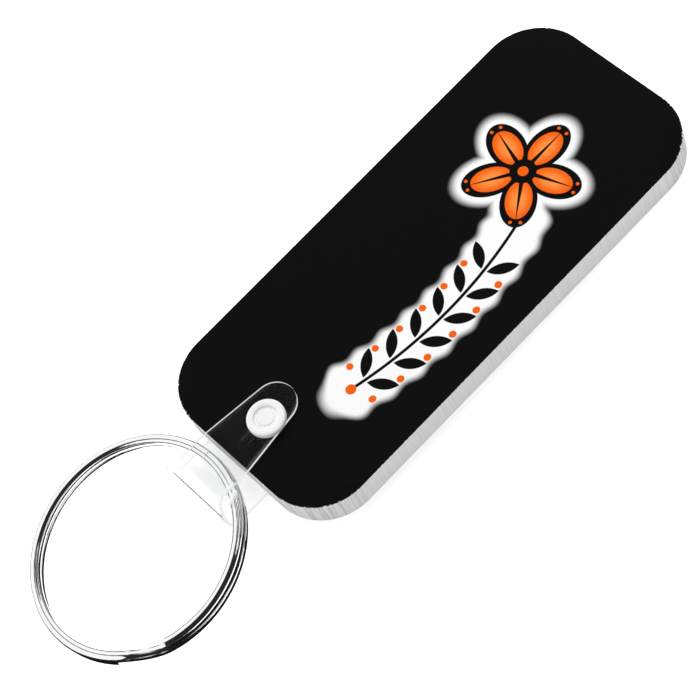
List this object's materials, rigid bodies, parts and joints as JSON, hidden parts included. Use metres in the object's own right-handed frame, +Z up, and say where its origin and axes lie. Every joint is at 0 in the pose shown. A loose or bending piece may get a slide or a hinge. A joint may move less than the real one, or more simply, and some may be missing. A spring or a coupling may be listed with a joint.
{
  "type": "soft pvc keychain",
  "caption": "Flat soft PVC key tag with rounded corners, a clear strap held by a plastic snap, and a split ring that swings in the strap's loop.",
  "frame": {"origin": "middle of the tag's underside", "axes": "+Z up from the table the key tag lies on, +X towards the end away from the ring, +Y across the tag; the tag leans down towards +X by 1.64 degrees, because it lies on the back of its snap"},
  "size_m": [0.1144, 0.0373, 0.0085],
  "materials": {
    "printed_pvc": "soft white PVC, die-cut, printed matte black on the face",
    "clear_pvc": "clear flexible PVC sheet, glossy",
    "snap_plastic": "moulded white plastic, satin",
    "bright_chrome": "polished plated spring wire"
  },
  "bodies": {
    "tag": {"tag": "printed_pvc", "strap": "clear_pvc", "snap_stud": "snap_plastic", "snap_socket": "snap_plastic"},
    "ring": {"split_ring": "bright_chrome"}
  },
  "joints": [
    {"name": "ring_swing", "type": "hinge", "parent": "tag", "child": "ring", "pos_m": [-0.04271, 0.003, 0.00361], "axis": [0, 1, 0], "range_deg": [-90, 105]}
  ]
}
